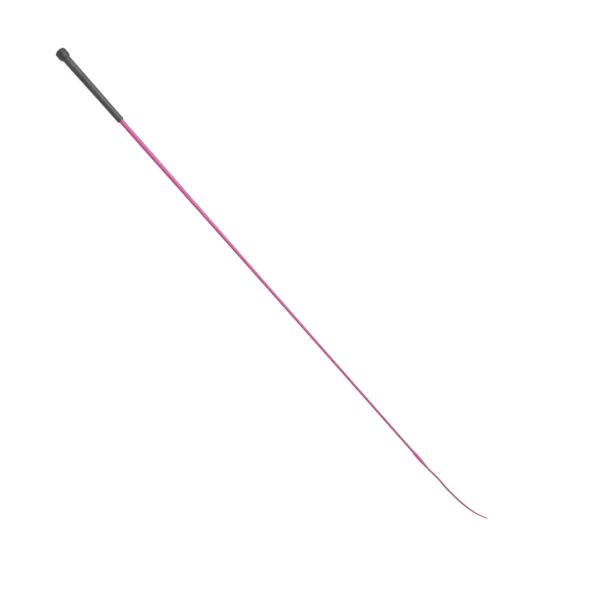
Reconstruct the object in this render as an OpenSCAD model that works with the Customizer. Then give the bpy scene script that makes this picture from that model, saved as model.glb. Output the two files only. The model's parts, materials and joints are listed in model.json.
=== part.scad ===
// Dressage whip lying on a flat surface, its butt towards -X and its lash towards +X.
// The origin is on the surface, below the middle of the whip without its lash.
// Round parts are drawn as profiles of [radius, distance from the butt end], turned about the whip's axis.
// The whip rests on its cap and on its binding, so its axis falls slightly from the cap to the tip.

/* [Cap] */
// Diameter of the mushroom cap at its widest
cap_d = 20.5; // [18:0.5:24]
// Diameter where the domed end meets the side
cap_dome_d = 20; // [17.5:0.5:23.5]
// Depth of the domed end
cap_dome_length = 5.5; // [4.5:0.5:7]
// Distance from the butt end to the cap's widest place
cap_widest_at = 12; // [11:0.5:13]
// Length of the cap, up to the grip
cap_length = 20.4; // [19:0.1:22]
// Diameter of the cap where it meets the grip
cap_foot_d = 14.6; // [14.4:0.1:16]

/* [Grip] */
// Distance from the butt end to the grip's lower end
grip_end = 164; // [155:0.5:200]
// Diameter of the straight neck, where a rack clip takes hold
neck_d = 14.2; // [13.6:0.1:14.4]
// Length of the straight neck
neck_length = 22; // [18:1:28]
// Diameter of the tapered part of the grip a quarter of the way down it
grip_waist_d = 13.5; // [13:0.1:13.6]
// Diameter at the grip's lower end
grip_end_d = 12.4; // [12:0.1:13]
// Rounding of the grip's lower corner
grip_corner = 1.2; // [0.5:0.1:1.5]

/* [Shaft] */
// Distance from the butt end to the shaft's tip
shaft_end = 943; // [843:10:1043]
// Diameter of the covered shaft at the grip
shaft_d = 8.6; // [8:0.1:8.8]
// Diameter of the covered shaft at its tip
shaft_tip_d = 4; // [3.8:0.1:4.2]
// Thickness of the braided cover
cover_thickness = 0.45; // [0.3:0.05:0.6]
// Length of shaft at its full diameter, below the grip
shaft_straight = 70; // [40:5:100]

/* [Binding] */
// Diameter of the thread binding
binding_d = 6.1; // [6:0.1:6.4]
// Distance that the binding starts above the shaft's tip
binding_start = 14; // [14:1:20]
// Distance that the binding ends below the shaft's tip
binding_end = 22; // [20:1:26]

/* [Lash] */
// Diameter of the lash where it leaves the binding
lash_d = 3.3; // [3:0.1:3.4]
// Diameter of the lash at its free end
lash_end_d = 2.1; // [1.8:0.1:2.4]

/* [Hidden] */

// Facets of a full turn, and steps in a quarter round of a profile
turn_facets = 96;
arc_steps = 12;
// Gap left for glue between parts that are glued together
glue_gap = 0.05;

// Cap insert: a disc held in the cap and a spigot that fills the top of the former
insert_disc_r = 7;
insert_disc_start = 4;
insert_disc_end = 8;
insert_spigot_end = 29;

// Former: a tube that builds the shaft up to the grip's bore
former_r = 5;
former_end = 140;
core_start = insert_spigot_end + 1;
cover_start = former_end + 1;

// Covered shaft: its radius falls quickly in the upper half and slowly in the lower half
shaft_span = shaft_end - grip_end;
shaft_taper = (shaft_d - shaft_tip_d) / 2;
shaft_taper_places = [[0.24, 0.29], [0.46, 0.62], [0.68, 0.84], [0.86, 0.93], [1, 1]];
cover_profile = concat(
    [[shaft_d / 2, cover_start], [shaft_d / 2, grip_end + shaft_straight]],
    [for (p = shaft_taper_places) [shaft_d / 2 - p[1] * shaft_taper, grip_end + p[0] * shaft_span]]);
core_profile = concat(
    [[shaft_d / 2 - cover_thickness, core_start]],
    [for (i = [1:len(cover_profile) - 1]) cover_profile[i] - [cover_thickness, 0]]);

// Bound end of the lash: its braid is opened into a socket over the shaft's tip
socket_start = shaft_end - 10;
socket_end = shaft_end + 2;
socket_r = shaft_tip_d / 2 + 0.55;
socket_bore_r = shaft_tip_d / 2 + 0.08;
socket_depth_end = shaft_end + 0.5;
lash_exit = shaft_end + binding_end;
lash_neck = lash_exit - 6;

// The whip rests on the cap's widest place and on the lower end of the full binding. Each has a small flat
// there, rest_flat deep, so that the whip lies steadily; a real one is round at both places
rest_flat = 0.1;
binding_full_start = shaft_end - binding_start + 4;
binding_full_end = shaft_end + 6;
rest_tilt = atan((cap_d - binding_d) / 2 / (binding_full_end - cap_widest_at));
butt_z = cap_widest_at * sin(rest_tilt) + cap_d / 2 * cos(rest_tilt) - rest_flat;
butt_x = -lash_exit * cos(rest_tilt) / 2;
exit_x = butt_x + lash_exit * cos(rest_tilt);

// Lash: where it lies, as [distance past the binding, sideways, height above the surface]
lash_route = [
    [0, 0, 2.8], [5, 0.1, 2.8], [12, 0.8, 2.7], [18, 1.3, 2.5], [25, 1.7, 2.3], [32, 1.9, 2.1],
    [40, 1.8, 1.9], [48, 1.7, 1.8], [56, 1.9, 1.7], [64, 2.5, 1.7], [72, 3.1, 1.7], [80, 3.7, 1.7],
    [88, 4.8, 1.7], [96, 6.2, 1.6], [104, 7.9, 1.5], [112, 10, 1.4], [118, 12, 1.4],
    [124, 14.6, 1.3], [130, 17.3, 1.2], [135.5, 19.8, 1.1]];
// Places along the route where one length of lash bends on the next, and where the lash starts to thin
root_joint = 1;
middle_joint = 7;
end_joint = 13;
free_end = len(lash_route) - 1;
thin_from = 12;
lash_sides = 8;
joint_gap = 0.2;

function unit(v) = v / norm(v);
// Points of an elliptical quarter round in a profile, from one angle to another
function quarter(centre, r_size, s_size, from, to) =
    [for (i = [0:arc_steps])
        let (a = from + (to - from) * i / arc_steps)
        centre + [r_size * cos(a), s_size * sin(a)]];

function route_place(i) = [exit_x, 0, 0] + lash_route[i];
function route_heading(i) = unit(route_place(min(i + 1, free_end)) - route_place(max(i - 1, 0)));
function lash_r(i) =
    lash_d / 2 - max(0, i - thin_from) / (free_end - thin_from) * (lash_d - lash_end_d) / 2;

// A ring of the tube, square to its heading, with one point straight below the centre
function ring(centre, heading, r) =
    let (side = unit(cross(heading, [0, 0, 1])), up = cross(side, heading))
    [for (k = [0:lash_sides - 1])
        let (a = 360 * k / lash_sides)
        centre + r * (cos(a) * side + sin(a) * up)];

// Rings of one length of lash: a round start about its joint, the route, and a square end
// that stops short of the next joint
function lash_rings(first, last) =
    let (
        start = route_place(first),
        start_heading = route_heading(first),
        r = lash_r(first),
        stop = last == free_end ? 0 : lash_r(last) + joint_gap)
    concat(
        [for (a = [75, 50, 25]) ring(start - r * sin(a) * start_heading, start_heading, r * cos(a))],
        [for (i = [first:last - 1]) ring(route_place(i), route_heading(i), lash_r(i))],
        [ring(route_place(last) - stop * route_heading(last), route_heading(last), lash_r(last))]);

// One length of lash, as a tube swept through its rings
module lash_length(first, last) {
    rings = lash_rings(first, last);
    n = lash_sides;
    top = (len(rings) - 1) * n;
    polyhedron(
        points = [for (one = rings) each one],
        faces = concat(
            [[for (k = [0:n - 1]) n - 1 - k]],
            [[for (k = [0:n - 1]) top + k]],
            [for (i = [0:len(rings) - 2], k = [0:n - 1])
                [i * n + k, i * n + (k + 1) % n, (i + 1) * n + k]],
            [for (i = [0:len(rings) - 2], k = [0:n - 1])
                [i * n + (k + 1) % n, (i + 1) * n + (k + 1) % n, (i + 1) * n + k]]));
}

// Turns a profile about the whip's axis
module turned(profile) {
    translate([butt_x, 0, butt_z])
        rotate([0, 90 + rest_tilt, 0])
            rotate_extrude($fn = turn_facets)
                polygon(profile);
}

// Takes off what would reach below the surface
module resting() {
    difference() {
        children();
        translate([butt_x - 20, -20, -10])
            cube([lash_exit + 40, 40, 10]);
    }
}

// Soft outer cap with a cavity for its insert and a socket for the former
module cap_shell() {
    shoulder_length = cap_length - cap_widest_at;
    outside = concat(
        quarter([0, cap_dome_length], cap_dome_d / 2, cap_dome_length, -90, 0),
        quarter([cap_foot_d / 2, cap_widest_at], (cap_d - cap_foot_d) / 2, shoulder_length, 0, 90));
    inside = [
        [former_r + glue_gap, cap_length],
        [former_r + glue_gap, insert_disc_end],
        [insert_disc_r, insert_disc_end],
        [insert_disc_r, insert_disc_start],
        [0, insert_disc_start]];
    color([0.33, 0.33, 0.34])
        resting()
            turned(concat(outside, inside));
}

// Hard insert that joins the cap to the former
module cap_insert() {
    spigot_r = shaft_d / 2 - cover_thickness;
    color([0.15, 0.15, 0.16])
        turned([
            [0, insert_disc_start],
            [insert_disc_r, insert_disc_start],
            [insert_disc_r, insert_disc_end],
            [spigot_r, insert_disc_end],
            [spigot_r, insert_spigot_end],
            [0, insert_spigot_end]]);
}

// Tube between the rod and the grip, from the cap's socket to the start of the braid
module handle_former() {
    bore_r = shaft_d / 2 - cover_thickness + glue_gap;
    color([0.75, 0.73, 0.68])
        turned([
            [bore_r, insert_disc_end],
            [former_r, insert_disc_end],
            [former_r, former_end],
            [bore_r, former_end]]);
}

// Rubber grip: a straight neck, a tapered body and a closed-down lower end around the covered shaft
module grip_sleeve() {
    neck_end = cap_length + neck_length;
    taper_span = grip_end - neck_end;
    outside = concat(
        [
            [neck_d / 2, cap_length],
            [neck_d / 2, neck_end],
            [(neck_d + grip_waist_d) / 4, neck_end + 0.1 * taper_span],
            [grip_waist_d / 2, neck_end + 0.25 * taper_span],
            [(grip_waist_d + grip_end_d) / 4, neck_end + 0.6 * taper_span]],
        quarter([grip_end_d / 2 - grip_corner, grip_end - grip_corner], grip_corner, grip_corner, 0, 90));
    inside = [
        [shaft_d / 2 + glue_gap, grip_end],
        [shaft_d / 2 + glue_gap, former_end + 0.5],
        [former_r + glue_gap, former_end + 0.5],
        [former_r + glue_gap, cap_length]];
    color([0.36, 0.36, 0.37])
        turned(concat(outside, inside));
}

// Tapered fibreglass rod
module core_rod() {
    color([0.86, 0.84, 0.76])
        turned(concat([[0, core_start]], core_profile, [[0, shaft_end]]));
}

// Braided nylon cover over the rod
module braid_cover() {
    last = len(cover_profile) - 1;
    bore = [for (i = [last:-1:0]) cover_profile[i] - [cover_thickness - glue_gap / 2, 0]];
    color([0.83, 0.35, 0.58])
        turned(concat(cover_profile, bore));
}

// The lash's own end: a socket over the shaft's tip, narrowing to the cord where it leaves the binding
module lash_bound_end() {
    stub_end = lash_exit + norm(lash_route[root_joint] - lash_route[0]) - lash_d / 2 - joint_gap;
    color([0.78, 0.36, 0.56])
        turned([
            [0, socket_depth_end],
            [socket_bore_r, socket_depth_end],
            [socket_bore_r, socket_start],
            [socket_r, socket_start],
            [socket_r, socket_end],
            [lash_d / 2, lash_neck],
            [lash_d / 2, stub_end],
            [0, stub_end]]);
}

// Thread wound over the cover's end and the lash's bound end
module thread_binding() {
    thread_start = shaft_end - binding_start;
    color([0.86, 0.38, 0.60])
        resting()
            turned([
                [socket_bore_r + 0.05, thread_start],
                [socket_bore_r + 0.25, thread_start],
                [binding_d / 2 - 0.3, thread_start + 2],
                [binding_d / 2, binding_full_start],
                [binding_d / 2, binding_full_end],
                [lash_d / 2 + 0.75, binding_full_end + 4],
                [lash_d / 2 + 0.6, lash_neck],
                [lash_d / 2 + 0.25, lash_exit - 1],
                [lash_d / 2 + 0.15, lash_exit],
                [lash_d / 2 + 0.05, lash_exit],
                [lash_d / 2 + 0.05, lash_neck],
                [socket_r + 0.05, socket_end],
                [socket_r + 0.05, socket_start - 0.2],
                [socket_bore_r + 0.05, socket_start - 0.2]]);
}

// First bending length of the lash
module lash_root() {
    color([0.78, 0.36, 0.56])
        lash_length(root_joint, middle_joint);
}

// Second bending length of the lash
module lash_middle() {
    color([0.78, 0.36, 0.56])
        lash_length(middle_joint, end_joint);
}

// Last bending length of the lash, thinning to its bare end
module lash_end() {
    color([0.78, 0.36, 0.56])
        lash_length(end_joint, free_end);
}

cap_shell();
cap_insert();
handle_former();
grip_sleeve();
core_rod();
braid_cover();
lash_bound_end();
thread_binding();
lash_root();
lash_middle();
lash_end();
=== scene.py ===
import json
import math

import bpy
import numpy as np
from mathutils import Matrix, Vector, noise


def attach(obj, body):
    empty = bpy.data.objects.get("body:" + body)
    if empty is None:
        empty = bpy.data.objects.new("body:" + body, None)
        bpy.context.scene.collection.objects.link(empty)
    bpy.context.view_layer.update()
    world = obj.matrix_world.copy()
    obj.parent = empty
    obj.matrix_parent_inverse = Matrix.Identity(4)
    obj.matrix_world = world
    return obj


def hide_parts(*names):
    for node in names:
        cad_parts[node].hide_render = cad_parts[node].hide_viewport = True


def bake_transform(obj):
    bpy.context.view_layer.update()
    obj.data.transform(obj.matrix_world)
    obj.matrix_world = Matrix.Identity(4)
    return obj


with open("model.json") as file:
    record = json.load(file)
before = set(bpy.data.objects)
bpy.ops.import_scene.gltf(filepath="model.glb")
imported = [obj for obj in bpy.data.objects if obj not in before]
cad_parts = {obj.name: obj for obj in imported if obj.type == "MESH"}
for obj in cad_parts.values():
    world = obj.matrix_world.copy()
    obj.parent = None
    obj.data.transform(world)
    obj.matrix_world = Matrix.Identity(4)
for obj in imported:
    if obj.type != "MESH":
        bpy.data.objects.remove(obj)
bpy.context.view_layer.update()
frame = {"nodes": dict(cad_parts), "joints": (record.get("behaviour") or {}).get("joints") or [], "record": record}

# All lengths are in metres. A place along the whip is a distance from the butt end.
MM = 0.001

# The whip's own axes: the axis runs through the neck that a rack clip holds, from the butt to the lash.
NECK_MIDDLE = 31.4 * MM
neck = next(m for m in frame["record"]["mounts"] if m["name"] == "rack_clip_neck")
ALONG = np.array(neck["axis"]) / np.linalg.norm(neck["axis"])
SIDE = np.array([0.0, 1.0, 0.0])
UP = np.cross(ALONG, SIDE)
BUTT = np.array(neck["pos_m"]) - NECK_MIDDLE * ALONG

# Cap
CAP_DOME = 5.5 * MM
CAP_DOME_R = 10 * MM
CAP_WIDEST = 12 * MM
CAP_R = 10.25 * MM
CAP_END = 20.4 * MM
CAP_FOOT_R = 7.3 * MM
CAP_SOCKET_R = 5.05 * MM
INSERT_R = 7 * MM
INSERT_START = 4 * MM
INSERT_END = 8 * MM

# Grip
GRIP_END = 164 * MM
GRIP_PROFILE = [(20.4, 7.1), (42.4, 7.1), (54.6, 6.93), (72.8, 6.75), (115.4, 6.48), (162.8, 6.2), (164, 6.2)]
GRIP_BORE_R = 5.05 * MM
GRIP_MOUTH_R = 4.35 * MM
FORMER_END = 140.5 * MM

# Covered shaft, as (distance, radius) in millimetres
COVER_PROFILE = [(141, 4.3), (234, 4.3), (351, 3.63), (522, 2.87), (694, 2.37), (834, 2.16), (943, 2)]
COVER_THICKNESS = 0.4 * MM

# Binding, as (distance, radius) in millimetres
BINDING_PROFILE = [(929, 2.45), (931, 2.75), (933, 3.05), (949, 3.05), (953, 2.4), (959, 2.25), (965, 1.85)]
LASH_EXIT = 965 * MM
SOCKET_PROFILE = [(933, 2.5), (945, 2.5), (958, 1.65), (962, 1.65)]

# Lash: (distance past the binding, sideways, height above the surface), in millimetres
LASH_ROUTE = [
    (0, 0, 2.8), (5, 0.1, 2.8), (12, 0.8, 2.7), (18, 1.3, 2.5), (25, 1.7, 2.3), (32, 1.9, 2.1),
    (40, 1.8, 1.9), (48, 1.7, 1.8), (56, 1.9, 1.7), (64, 2.5, 1.7), (72, 3.1, 1.7), (80, 3.7, 1.7),
    (88, 4.8, 1.7), (96, 6.2, 1.6), (104, 7.9, 1.5), (112, 10, 1.4), (118, 12, 1.4),
    (124, 14.6, 1.3), (130, 17.3, 1.2), (135.5, 19.8, 1.1)]
LASH_R = 1.65 * MM
LASH_END_R = 1.05 * MM
LASH_THINS_FROM = 88 * MM


# ---------------------------------------------------------------- places

def on_axis(s):
    """The points of the whip's axis at distances s."""
    return BUTT + np.multiply.outer(np.asarray(s, float), ALONG)


def profile_radius(profile, s):
    """The radius in metres of a (millimetre) profile at distances s, with its corners smoothed."""
    places = np.array(profile, float) * MM
    reach = 2 * MM
    return np.mean([np.interp(s + d, places[:, 0], places[:, 1]) for d in (-reach, 0, reach)], axis=0)


def smooth_line(points, steps=12):
    """A Catmull-Rom line through points."""
    p = np.array([2 * points[0] - points[1], *points, 2 * points[-1] - points[-2]])
    line = []
    for i in range(1, len(p) - 2):
        for t in np.arange(steps) / steps:
            line.append(0.5 * (2 * p[i] + (p[i + 1] - p[i - 1]) * t
                               + (2 * p[i - 1] - 5 * p[i] + 4 * p[i + 1] - p[i + 2]) * t ** 2
                               + (3 * p[i] - p[i - 1] - 3 * p[i + 1] + p[i + 2]) * t ** 3))
    return np.array([*line, p[-2]])


class Route:
    """A line with a distance along it, and two directions square to it at every place."""

    def __init__(self, points, start=0.0):
        self.points = points
        self.s = start + np.concatenate([[0], np.cumsum(np.linalg.norm(np.diff(points, axis=0), axis=1))])

    def at(self, s):
        return np.stack([np.interp(s, self.s, self.points[:, k]) for k in range(3)], axis=-1)

    def axes(self, s):
        ahead = self.at(np.asarray(s) + 1 * MM) - self.at(np.asarray(s) - 1 * MM)
        ahead /= np.linalg.norm(ahead, axis=-1, keepdims=True)
        side = np.cross([0, 0, 1.0], ahead)
        side /= np.linalg.norm(side, axis=-1, keepdims=True)
        return side, np.cross(ahead, side)


shaft_line = Route(np.array([BUTT, BUTT + 1.0 * ALONG]))
lash_exit = on_axis(LASH_EXIT)
INSIDE_BINDING = 6 * MM
lash_points = [lash_exit - INSIDE_BINDING * ALONG]
lash_points += [np.array([lash_exit[0], 0, 0]) + np.array(p) * MM for p in LASH_ROUTE]
lash_line = Route(smooth_line(lash_points), start=-INSIDE_BINDING)
LASH_LENGTH = lash_line.s[-1]


def lash_radius(s):
    thinning = np.clip((s - LASH_THINS_FROM) / (LASH_LENGTH - LASH_THINS_FROM), 0, 1)
    return LASH_R + (LASH_END_R - LASH_R) * thinning


# ---------------------------------------------------------------- camera

def camera():
    """Straight above the whip, turned so that the cap is at the picture's upper left."""
    data = bpy.data.cameras.new("camera")
    data.sensor_width = 36
    distance = 4.0
    view_width = 1.0412
    data.lens = data.sensor_width * distance / view_width
    data.clip_start = 0.1
    data.clip_end = 50
    cam = bpy.data.objects.new("camera", data)
    bpy.context.scene.collection.objects.link(cam)
    middle_from_butt = 0.6013
    middle_aside = 0.027
    cam.location = ((BUTT + middle_from_butt * ALONG)[0], middle_aside, distance)
    whip_falls = 48.58
    cam.rotation_euler = (0, 0, math.radians(whip_falls))
    bpy.context.scene.camera = cam


camera()


# ---------------------------------------------------------------- meshes

def add_piece(name, points, faces, body, replaced=(), material=None, flat_faces=0, values=None,
              normals=None):
    """A closed mesh riding on a body. Its last flat_faces faces are shaded flat. values are numbers for its
    points, and normals are directions for shading them, where they aren't zeros."""
    mesh = bpy.data.meshes.new(name)
    mesh.from_pydata([tuple(p) for p in points], [], [tuple(int(i) for i in f) for f in faces])
    smooth = np.ones(len(mesh.polygons), bool)
    if flat_faces:
        smooth[-flat_faces:] = False
    mesh.polygons.foreach_set("use_smooth", smooth)
    for key, numbers in (values or {}).items():
        mesh.attributes.new(key, "FLOAT", "POINT").data.foreach_set("value", np.asarray(numbers, np.float32))
    mesh.update()
    if normals is not None:
        mesh.normals_split_custom_set_from_vertices([tuple(x) for x in normals])
    piece = bpy.data.objects.new(name, mesh)
    bpy.context.scene.collection.objects.link(piece)
    if material:
        mesh.materials.append(material)
    if body:
        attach(piece, body)
    if replaced:
        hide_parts(*replaced)
    return piece


def over_and_under(strand_a, strand_b):
    """1 where a strand of the first hand lies over one of the second, in a braid of two over, two under."""
    return ((strand_a + strand_b) % 4 < 2).astype(float)


def braid_heights(across_a, across_b):
    """Heights from 0 in the grooves to 1 on the crowns, at points on a lattice of 3 steps to a strand, and
    whether the strand on top is of the first hand."""
    a, p = np.divmod(across_a, 3)
    b, q = np.divmod(across_b, 3)
    over = over_and_under(a, b)
    lift_a = np.where(q == 0, (over + over_and_under(a, b - 1)) / 2, over) * (p > 0)
    lift_b = np.where(p == 0, 1 - (over + over_and_under(a - 1, b)) / 2, 1 - over) * (q > 0)
    return np.maximum(lift_a, lift_b), lift_a >= lift_b, a, b


def ring_normals(before, ring, after, is_even):
    """Directions square to a braid's surface at the points of one ring, from the rings beside it."""
    def nearest(other):
        return (np.roll(other, 1, 0), other) if is_even else (other, np.roll(other, -1, 0))

    before_low, before_high = nearest(before)
    after_low, after_high = nearest(after)
    around = [np.roll(ring, -1, 0), after_high, after_low, np.roll(ring, 1, 0), before_low, before_high]
    spokes = [place - ring for place in around]
    normals = sum(np.cross(one, two) for one, two in zip(spokes, spokes[1:] + spokes[:1]))
    return normals / np.linalg.norm(normals, axis=1, keepdims=True)


# Where a cord's tip is melted: the height that its strands sink to, and the share of its section that closes
MELTED_HEIGHT = 0.6
TIP_CLOSES = 0.9
BORE_RINGS = 9


def braid_mesh(line, start, stop, radius, strands, pitch, depth, seed, bore=None, sealed_tip=0.0,
               fade_over=(0, 1), runs_on=(False, False)):
    """Points, faces, values, number of flat faces and normals of a braided tube along a line, with strands of
    each hand and one full turn in pitch. Rings are staggered, so that every strand's edges are edges of the
    mesh. It's solid, or hollow with a bore, and melts into a rounded tip over the length sealed_tip. Its
    value fade goes from 0 to 1 over fade_over. An end of a solid one that runs on into another piece is
    shaded like one surface with it: the normals are directions for the points there, and zeros elsewhere."""
    n = 3 * strands
    step = pitch / (2 * n)
    rounding = 1e-6
    first, last = math.ceil(start / step - rounding), math.floor(stop / step + rounding)
    random = np.random.default_rng(seed)
    tones = random.uniform(-1, 1, (2, strands))
    j = np.arange(n)

    def rings_at(k):
        """Places along the line, points, heights and tones of the rings numbered k."""
        turn = 2 * j[None, :] + (k[:, None] % 2)
        across_a, across_b = (turn - k[:, None]) // 2, (turn + k[:, None]) // 2
        height, top_a, a, b = braid_heights(across_a, across_b)
        s = np.where(k == first, start, np.where(k == last, stop, k * step))
        tone = np.where(top_a, tones[0][a % strands], tones[1][b % strands])
        outer = radius(s)
        if sealed_tip:
            whole = np.clip((stop - s) / sealed_tip, 0, 1)
            height = height * whole[:, None] + MELTED_HEIGHT * (1 - whole[:, None])
            outer = outer * np.sqrt(np.clip(1 - (1 - whole) ** 4 * TIP_CLOSES, 0, 1))
        r = outer[:, None] - depth * (1 - height)
        angle = turn * math.pi / n
        side, up = line.axes(s)
        centre = line.at(s)
        points = (centre[:, None] + r[..., None] * (np.cos(angle)[..., None] * side[:, None]
                                                    + np.sin(angle)[..., None] * up[:, None]))
        return s, points, height, tone

    k = np.arange(first, last + 1)
    s, points, height, tone = rings_at(k)
    normals = np.zeros(points.shape)
    for end, runs in zip((0, -1), runs_on):
        if runs:
            near = rings_at(k[end] + np.array([-1, 0, 1]))[1]
            normals[end] = ring_normals(*near, is_even=k[end] % 2 == 0)
    rings = len(k)
    index = np.arange(rings * n).reshape(rings, n)
    here, there = index[:-1], index[1:]
    here_next, there_next = np.roll(here, -1, 1), np.roll(there, -1, 1)
    even = (k[:-1] % 2 == 0)[:, None]
    one = np.where(even[..., None], np.stack([here, here_next, there], -1),
                   np.stack([here, there_next, there], -1))
    two = np.where(even[..., None], np.stack([there, here_next, there_next], -1),
                   np.stack([here, here_next, there_next], -1))
    faces = list(np.concatenate([one, two], 1).reshape(-1, 3))
    points = points.reshape(-1, 3)
    fade = np.clip((s - fade_over[0]) / (fade_over[1] - fade_over[0]), 0, 1)
    fade = np.broadcast_to(fade[:, None], height.shape)
    values = {"height": height.ravel(), "tone": tone.ravel(), "fade": fade.ravel()}
    if bore is None:
        flat = [tuple(index[0][::-1]), tuple(index[-1])]
    else:
        inner_s = np.linspace(start, stop, BORE_RINGS)
        angle = np.arange(n) * 2 * math.pi / n
        side, up = line.axes(inner_s)
        inner_r = bore(inner_s)
        inner = line.at(inner_s)[:, None] + inner_r[:, None, None] * (
            np.cos(angle)[None, :, None] * side[:, None] + np.sin(angle)[None, :, None] * up[:, None])
        inner_index = len(points) + np.arange(inner_r.size * n).reshape(-1, n)
        points = np.concatenate([points, inner.reshape(-1, 3)])
        values = {key: np.concatenate([v, np.zeros(inner_index.size)]) for key, v in values.items()}
        faces += quads(inner_index[::-1])
        flat = quads(np.stack([inner_index[0], index[0]])) + quads(np.stack([index[-1], inner_index[-1]]))
    return points, faces + flat, values, len(flat), normals.reshape(-1, 3)


def quads(index):
    """Four-sided faces between the rows of a grid of closed rings."""
    nxt = np.roll(index, -1, 1)
    return list(np.stack([index[:-1], nxt[:-1], nxt[1:], index[1:]], -1).reshape(-1, 4))


def turned_mesh(profile, segments=96, relief=None):
    """Points and faces of a closed (distance, radius) profile turned about the whip's axis. Where the radius
    is 0 the ring becomes one point. relief(s, angle, r) is added to the radius."""
    on_the_axis = 1e-9
    profile = np.array(profile, float)
    angle = np.arange(segments) * 2 * math.pi / segments
    points, rows = [], []
    count = 0
    for s, r in profile:
        if r < on_the_axis:
            points.append(on_axis(s)[None])
            rows.append(np.full(segments, count))
            count += 1
            continue
        rr = np.full(segments, r)
        if relief is not None:
            rr = rr + relief(s, angle, r)
        ring = on_axis(s) + rr[:, None] * (np.cos(angle)[:, None] * SIDE + np.sin(angle)[:, None] * UP)
        points.append(ring)
        rows.append(count + np.arange(segments))
        count += segments
    faces = []
    pairs = zip(rows, rows[1:] + (rows[:1] if profile[0][1] > on_the_axis else []))
    for one, two in pairs:
        for i in range(segments):
            m = (i + 1) % segments
            face = []
            for v in (one[i], one[m], two[m], two[i]):
                if v not in face:
                    face.append(int(v))
            if len(face) > 2:
                faces.append(face)
    return np.concatenate(points), faces


def arc(centre_s, centre_r, size_s, size_r, from_deg, to_deg, steps=10):
    """Points of an elliptical arc in a profile; 0 degrees is outwards and 90 is towards the lash."""
    angles = np.radians(np.linspace(from_deg, to_deg, steps + 1))
    return [(centre_s + size_s * math.sin(t), centre_r + size_r * math.cos(t)) for t in angles]


# ---------------------------------------------------------------- materials

class Nodes:
    """A material's node tree, with short ways to add nodes and links."""

    def __init__(self, name):
        self.material = bpy.data.materials.new(name)
        self.material.use_nodes = True
        self.tree = self.material.node_tree
        self.shader = self.tree.nodes["Principled BSDF"]

    def add(self, kind, inputs=None, **settings):
        node = self.tree.nodes.new(kind)
        for key, value in settings.items():
            setattr(node, key, value)
        for key, value in (inputs or {}).items():
            self.put(node.inputs[key], value)
        return node

    def put(self, socket, value):
        if isinstance(value, bpy.types.NodeSocket):
            self.tree.links.new(value, socket)
        else:
            socket.default_value = value

    def noise(self, scale, detail=3.0, stretch=(1, 1, 1)):
        """Noise in the row frame, with scale in cells per metre."""
        place = self.add("ShaderNodeTexCoord").outputs["Object"]
        mapped = self.add("ShaderNodeMapping", {"Vector": place, "Scale": stretch}).outputs["Vector"]
        cells = self.add("ShaderNodeTexNoise", {"Vector": mapped, "Scale": scale, "Detail": detail})
        return cells.outputs["Fac"]

    def attribute(self, name):
        return self.add("ShaderNodeAttribute", attribute_name=name).outputs["Fac"]

    def ramp(self, value, low, high, to_low=0.0, to_high=1.0):
        """value mapped from low..high to to_low..to_high and clamped."""
        return self.add("ShaderNodeMapRange", {
            "Value": value, "From Min": low, "From Max": high, "To Min": to_low, "To Max": to_high,
        }).outputs["Result"]

    def mix(self, share, one, two):
        node = self.add("ShaderNodeMix", data_type="RGBA")
        self.put(node.inputs["Factor"], share)
        colour_inputs = [x for x in node.inputs if x.type == "RGBA"]
        for socket, colour in zip(colour_inputs, (one, two)):
            self.put(socket, colour)
        return next(x for x in node.outputs if x.type == "RGBA")

    def bump(self, height, distance, strength=1.0, under=None):
        node = self.add("ShaderNodeBump", {"Height": height, "Distance": distance, "Strength": strength})
        if under is not None:
            self.put(node.inputs["Normal"], under)
        return node.outputs["Normal"]

    def finish(self, **sockets):
        for key, value in sockets.items():
            self.put(self.shader.inputs[key.replace("_", " ")], value)
        return self.material


def rgb(r, g, b):
    """A colour from sRGB values of 0 to 255, for a shader."""
    linear = [c / 255 / 12.92 if c <= 10 else ((c / 255 + 0.055) / 1.055) ** 2.4 for c in (r, g, b)]
    return (*linear, 1.0)


def rubber(name, dark, light, polish):
    """Matt moulded rubber: cloudy in tone, with a fine grain and places rubbed smoother by the hand."""
    n = Nodes(name)
    clouds = n.noise(90, 4)
    flecks = n.noise(900, 2)
    cloudy = n.mix(n.ramp(clouds, 0.35, 0.65), dark, light)
    fleck_colour = tuple(c * 0.6 for c in dark[:3]) + (1.0,)
    colour = n.mix(n.ramp(flecks, 0.62, 0.72, 0, 0.5), cloudy, fleck_colour)
    roughness = n.ramp(n.noise(140, 3), 0.3, 0.7, polish, polish + 0.16)
    grain = n.bump(n.noise(2600, 2), 0.05 * MM, 0.5)
    normal = n.bump(n.noise(1100, 3), 0.1 * MM, 0.35, under=grain)
    return n.finish(Base_Color=colour, Roughness=roughness, Normal=normal, Specular_IOR_Level=1.0)


def braid(name, painted_groove_shade, base, bright, polish, faded):
    """Braided nylon: strands of slightly different tone, painted shade in the grooves, fine filaments and a soft
    sheen. It fades along its length, to the colour faded at its far end."""
    n = Nodes(name)
    tone = n.ramp(n.attribute("tone"), -1, 1)
    strand = n.mix(n.attribute("fade"), n.mix(tone, base, bright), faded)
    wear = n.ramp(n.noise(60, 4), 0.3, 0.7, 0.0, 0.35)
    washed = n.mix(wear, strand, n.mix(n.attribute("fade"), base, faded))
    # Painted shade: points low in the braid's relief take the darker groove colour, which stands in for shade in
    # the grooves.
    colour = n.mix(n.ramp(n.attribute("height"), 0.05, 0.85), painted_groove_shade, washed)
    filaments = n.noise(3000, 2, stretch=(0.35, 1, 1))
    roughness = n.ramp(n.noise(400, 2), 0.3, 0.7, polish, polish + 0.15)
    normal = n.bump(filaments, 0.06 * MM, 0.45)
    return n.finish(Base_Color=colour, Roughness=roughness, Normal=normal, Specular_IOR_Level=1.0,
                    Sheen_Weight=0.08, Sheen_Roughness=0.4)


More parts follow.
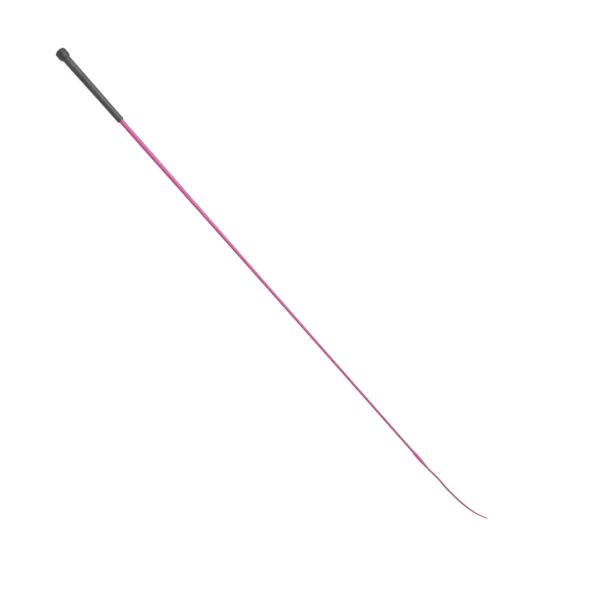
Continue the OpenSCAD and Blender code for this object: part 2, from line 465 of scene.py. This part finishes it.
def thread(name, base, bright, polish, faded):
    """Waxed thread: tight filaments and slow changes of tone along it. It fades to the colour faded at its
    far end."""
    n = Nodes(name)
    clean = n.mix(n.ramp(n.noise(260, 3), 0.35, 0.65), base, bright)
    colour = n.mix(n.attribute("fade"), clean, faded)
    roughness = n.ramp(n.noise(500, 2), 0.3, 0.7, polish, polish + 0.12)
    normal = n.bump(n.noise(5000, 2, stretch=(1, 0.4, 0.4)), 0.04 * MM, 0.5)
    return n.finish(Base_Color=colour, Roughness=roughness, Normal=normal,
                    Coat_Weight=0.25, Coat_Roughness=0.3)


def plastic(name, base, bright, polish):
    """Moulded plastic or resin with faint flow marks along the whip."""
    n = Nodes(name)
    colour = n.mix(n.ramp(n.noise(120, 4, stretch=(0.1, 1, 1)), 0.35, 0.65), base, bright)
    roughness = n.ramp(n.noise(300, 2), 0.3, 0.7, polish, polish + 0.15)
    normal = n.bump(n.noise(900, 2, stretch=(0.15, 1, 1)), 0.05 * MM, 0.3)
    return n.finish(Base_Color=colour, Roughness=roughness, Normal=normal)


CAP_RUBBER = rubber("cap_rubber", dark=rgb(25, 25, 25), light=rgb(40, 40, 40), polish=0.48)
GRIP_RUBBER = rubber("grip_rubber", dark=rgb(44, 44, 44), light=rgb(60, 60, 60), polish=0.46)
# Each braid's first colour is the painted shade of its grooves.
SHAFT_BRAID = braid("shaft_braid", painted_groove_shade=rgb(156, 34, 98), base=rgb(204, 72, 152), bright=rgb(214, 88, 164),
                    polish=0.38, faded=rgb(168, 58, 116))
LASH_BRAID = braid("lash_braid", painted_groove_shade=rgb(106, 34, 72), base=rgb(156, 54, 108), bright=rgb(168, 68, 122),
                   polish=0.42, faded=rgb(182, 64, 118))
BINDING_THREAD = thread("binding_thread", base=rgb(204, 90, 156), bright=rgb(214, 106, 170),
                        polish=0.36, faded=rgb(184, 106, 141))
GLASS_FIBRE = plastic("glass_fibre", rgb(206, 200, 172), rgb(226, 220, 196), 0.42)
FORMER_PLASTIC = plastic("former_plastic", rgb(176, 170, 154), rgb(196, 190, 176), 0.5)
INSERT_PLASTIC = plastic("insert_plastic", rgb(34, 34, 36), rgb(48, 48, 50), 0.45)


# ---------------------------------------------------------------- lash

LASH_STRANDS = 8
LASH_PITCH = 10 * MM
LASH_DEPTH = 0.15 * MM
LASH_SEED = 5
# The cord starts inside the binding, loses colour over LASH_FADES and is melted over its last LASH_TIP.
LASH_START = -4 * MM
LASH_FADES = (60 * MM, LASH_LENGTH)
LASH_TIP = 2.5 * MM
# The opened end stops this far short of its profile, where the cord starts.
SOCKET_SHORTER = 1 * MM


def lash_distance(place):
    """The distance along the lash of a place beside it."""
    return lash_line.s[np.argmin(abs(lash_line.points[:, 0] - place[0]))]


# Each piece of cord spans one joint, and ends half way between two joints, on a whole step of the
# braid, so that its strands run on across the cut.
JOINT_PLACES = [lash_distance(joint["pos_m"]) for joint in frame["joints"]]
LASH_STEP = LASH_PITCH / (6 * LASH_STRANDS)
HALF_WAYS = [(one + two) / 2 for one, two in zip(JOINT_PLACES, JOINT_PLACES[1:])]
LASH_CUTS = [round(s / LASH_STEP) * LASH_STEP for s in (LASH_START, *HALF_WAYS)] + [LASH_LENGTH]
LASH_BODIES = ["whip", "lash_root", "lash_middle", "lash_end"]
LASH_PIECES = ["lash_cord_root", "lash_cord_middle", "lash_cord_end"]


def lash_socket():
    """The lash's end, opened over the shaft's tip and hidden by the binding."""
    points, faces, values, flat, _ = braid_mesh(
        shaft_line, SOCKET_PROFILE[0][0] * MM, SOCKET_PROFILE[-1][0] * MM - SOCKET_SHORTER,
        lambda s: profile_radius(SOCKET_PROFILE, s), LASH_STRANDS, LASH_PITCH, LASH_DEPTH, LASH_SEED)
    return add_piece("lash_socket", points, faces, "whip", ["lash_bound_end"], LASH_BRAID,
                     flat, values)


def lash_cords(bound_end):
    """The lash beyond the binding, in one piece of cord for each of its joints."""
    for i, name in enumerate(LASH_PIECES):
        start, stop = LASH_CUTS[i], LASH_CUTS[i + 1]
        last = i == len(LASH_PIECES) - 1
        points, faces, values, flat, normals = braid_mesh(
            lash_line, start, stop, lash_radius, LASH_STRANDS, LASH_PITCH, LASH_DEPTH, LASH_SEED,
            sealed_tip=LASH_TIP if last else 0.0, fade_over=LASH_FADES, runs_on=(i > 0, not last))
        cord = add_piece(name, points, faces, None, [LASH_BODIES[i + 1]], LASH_BRAID,
                         flat, values, normals)
        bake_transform(cord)


lash_cords(lash_socket())


# ---------------------------------------------------------------- handle

GRIP_ROWS = 0.6 * MM
# The grip's grain: its depth, its cells in a metre, the noise value that cuts its crowns and pits off, and
# how far it stops from each end and from the bore
GRAIN_DEPTH = 0.07 * MM
GRAIN_CELLS = 900
GRAIN_LIMIT = 0.6
GRAIN_MARGIN = 2 * MM
GRAIN_BORE_MARGIN = 0.2 * MM


def cap():
    """The mushroom cap: domed at the end, rounded down to the grip, and hollow for its insert."""
    foot_round = 0.5 * MM
    shoulder = arc(CAP_WIDEST, CAP_FOOT_R, CAP_END - CAP_WIDEST, CAP_R - CAP_FOOT_R, 0, 84, 22)
    outside = arc(CAP_DOME, 0, CAP_DOME, CAP_DOME_R, -90, 0, 24) + shoulder
    outside += arc(CAP_END - foot_round, shoulder[-1][1] - foot_round, foot_round, foot_round, 30, 90, 5)
    inside = [(CAP_END, CAP_SOCKET_R), (INSERT_END, CAP_SOCKET_R), (INSERT_END, INSERT_R),
              (INSERT_START, INSERT_R), (INSERT_START, 0)]
    points, faces = turned_mesh(outside + inside)
    return add_piece("mushroom_cap", points, faces, "whip", ["cap_shell"], CAP_RUBBER)


def grip():
    """The rubber grip: a moulded pebble grain, a rounded lower end and a bore that narrows onto the shaft."""
    corner, neck_round = 1.2 * MM, 0.4 * MM
    neck_r, end_r = GRIP_PROFILE[0][1] * MM, GRIP_PROFILE[-1][1] * MM
    rows = np.arange(CAP_END + neck_round, GRIP_END - corner, GRIP_ROWS)
    outside = arc(CAP_END + neck_round, neck_r - neck_round, neck_round, neck_round, -90, 0, 4)
    outside += list(zip(rows[1:], profile_radius(GRIP_PROFILE, rows[1:])))
    outside += arc(GRIP_END - corner, end_r - corner, corner, corner, 0, 90, 8)
    inside = [(GRIP_END, GRIP_MOUTH_R), (FORMER_END, GRIP_MOUTH_R),
              (FORMER_END, GRIP_BORE_R), (CAP_END, GRIP_BORE_R)]

    def grain(s, angle, r):
        if not CAP_END + GRAIN_MARGIN < s < GRIP_END - GRAIN_MARGIN or r < GRIP_BORE_R + GRAIN_BORE_MARGIN:
            return 0.0
        cells = [noise.noise(Vector((s, r * math.cos(a), r * math.sin(a))) * GRAIN_CELLS) for a in angle]
        return GRAIN_DEPTH * np.clip(cells, -GRAIN_LIMIT, GRAIN_LIMIT)

    points, faces = turned_mesh(outside + inside, relief=grain)
    return add_piece("rubber_grip", points, faces, "whip", ["grip_sleeve"], GRIP_RUBBER)


cap()
grip()


# ---------------------------------------------------------------- shaft

SHAFT_STRANDS = 12
SHAFT_PITCH = 22 * MM
SHAFT_DEPTH = 0.2 * MM
SHAFT_SEED = 3
SHAFT_FADES = (350 * MM, 900 * MM)


def shaft_braid():
    """The shaft's braided cover, hollow for the rod."""
    def radius(s):
        return profile_radius(COVER_PROFILE, s)

    points, faces, values, flat, _ = braid_mesh(
        shaft_line, COVER_PROFILE[0][0] * MM, COVER_PROFILE[-1][0] * MM, radius, SHAFT_STRANDS, SHAFT_PITCH,
        SHAFT_DEPTH, SHAFT_SEED, bore=lambda s: radius(s) - COVER_THICKNESS, fade_over=SHAFT_FADES)
    return add_piece("shaft_braid", points, faces, "whip", ["braid_cover"], SHAFT_BRAID,
                     flat, values)


shaft_braid()


# ---------------------------------------------------------------- binding

THREAD_R = 0.21 * MM
THREAD_SPACING = 0.405 * MM
THREAD_SIDES = 6
STEPS_A_TURN = 28
THREAD_SEED = 11
THREAD_WANDER = 0.012 * MM
BINDING_FADES = (942 * MM, 954 * MM)
# The sleeve that closes the gaps lies this far below the winding's crowns.
SLEEVE_UNDER = 1.4 * THREAD_R
SLEEVE_THICKNESS = 0.1 * MM
SLEEVE_RINGS = 30
SLEEVE_SEGMENTS = 48


def thread_binding():
    """One close winding of thread over the shaft's tip and the lash's end, on a thin sleeve that closes its
    gaps."""
    start, stop = BINDING_PROFILE[0][0] * MM + THREAD_R, BINDING_PROFILE[-1][0] * MM - THREAD_R
    steps = round((stop - start) / THREAD_SPACING * STEPS_A_TURN)
    s = np.linspace(start, stop, steps)
    random = np.random.default_rng(THREAD_SEED)
    turns = np.arange(0, steps, STEPS_A_TURN)
    wander = np.interp(np.arange(steps), turns, random.normal(0, THREAD_WANDER, len(turns)))
    angle = np.arange(steps) * 2 * math.pi / STEPS_A_TURN
    r = profile_radius(BINDING_PROFILE, s) - THREAD_R + wander
    out = np.cos(angle)[:, None] * SIDE + np.sin(angle)[:, None] * UP
    centre = on_axis(s) + r[:, None] * out
    ahead = np.gradient(centre, axis=0)
    ahead /= np.linalg.norm(ahead, axis=1, keepdims=True)
    across = np.cross(ahead, out)
    thickness = np.full(steps, THREAD_R)
    thickness[[0, -1]] = THREAD_R / 2
    around = np.arange(THREAD_SIDES) * 2 * math.pi / THREAD_SIDES
    points = centre[:, None] + thickness[:, None, None] * (
        np.cos(around)[None, :, None] * out[:, None] + np.sin(around)[None, :, None] * across[:, None])
    index = np.arange(steps * THREAD_SIDES).reshape(steps, THREAD_SIDES)
    faces = quads(index) + [tuple(index[0][::-1]), tuple(index[-1])]
    points = points.reshape(-1, 3)

    sleeve_s = np.linspace(start, stop, SLEEVE_RINGS)
    sleeve_r = profile_radius(BINDING_PROFILE, sleeve_s)
    outside = list(zip(sleeve_s, sleeve_r - SLEEVE_UNDER))
    inside = [(a, b - SLEEVE_THICKNESS) for a, b in outside[::-1]]
    sleeve_points, sleeve_faces = turned_mesh(outside + inside, segments=SLEEVE_SEGMENTS)
    faces += [tuple(i + len(points) for i in f) for f in sleeve_faces]
    points = np.concatenate([points, sleeve_points])
    fade = np.clip(((points - BUTT) @ ALONG - BINDING_FADES[0]) / (BINDING_FADES[1] - BINDING_FADES[0]), 0, 1)
    return add_piece("wound_thread", points, faces, "whip", ["thread_binding"],
                     BINDING_THREAD, values={"fade": fade})


thread_binding()


# ---------------------------------------------------------------- parts that come from the frame unchanged

CAD_MATERIALS = {"core_rod": GLASS_FIBRE, "handle_former": FORMER_PLASTIC, "cap_insert": INSERT_PLASTIC}
for node, material in CAD_MATERIALS.items():
    mesh = frame["nodes"][node].data
    mesh.materials.clear()
    mesh.materials.append(material)


# ---------------------------------------------------------------- floor and light

def floor():
    """A white floor just under the whip. Its white is nearly all its own glow, so hardly any shadow shows."""
    size = 40
    below = 0.0002
    glow = 0.96
    bpy.ops.mesh.primitive_plane_add(size=size, location=(0, 0, -below))
    plane = bpy.context.object
    plane.name = "floor"
    n = Nodes("floor")
    tint = n.mix(n.ramp(n.noise(3, 2), 0.3, 0.7), (0.045, 0.045, 0.045, 1), (0.055, 0.055, 0.055, 1))
    plane.data.materials.append(n.finish(
        Base_Color=tint, Roughness=0.9, Emission_Color=(1, 1, 1, 1), Emission_Strength=glow))


def area_light(name, place, size, power, target=(0.05, 0, 0)):
    """A square lamp at a place, turned to the target."""
    data = bpy.data.lights.new(name, "AREA")
    data.shape = "SQUARE"
    data.size = size
    data.energy = power
    lamp = bpy.data.objects.new(name, data)
    bpy.context.scene.collection.objects.link(lamp)
    lamp.location = place
    lamp.rotation_euler = (Vector(target) - Vector(place)).to_track_quat("-Z", "Y").to_euler()


def light():
    """An even white surrounding and one large soft key on the whip's +Y side."""
    world = bpy.data.worlds.new("studio")
    world.use_nodes = True
    world.node_tree.nodes["Background"].inputs["Color"].default_value = (1, 1, 1, 1)
    world.node_tree.nodes["Background"].inputs["Strength"].default_value = 0.5
    bpy.context.scene.world = world
    bpy.context.scene.view_settings.view_transform = "Standard"
    area_light("key", place=(0.1, 1.85, 2.1), size=2.3, power=66)


floor()
light()
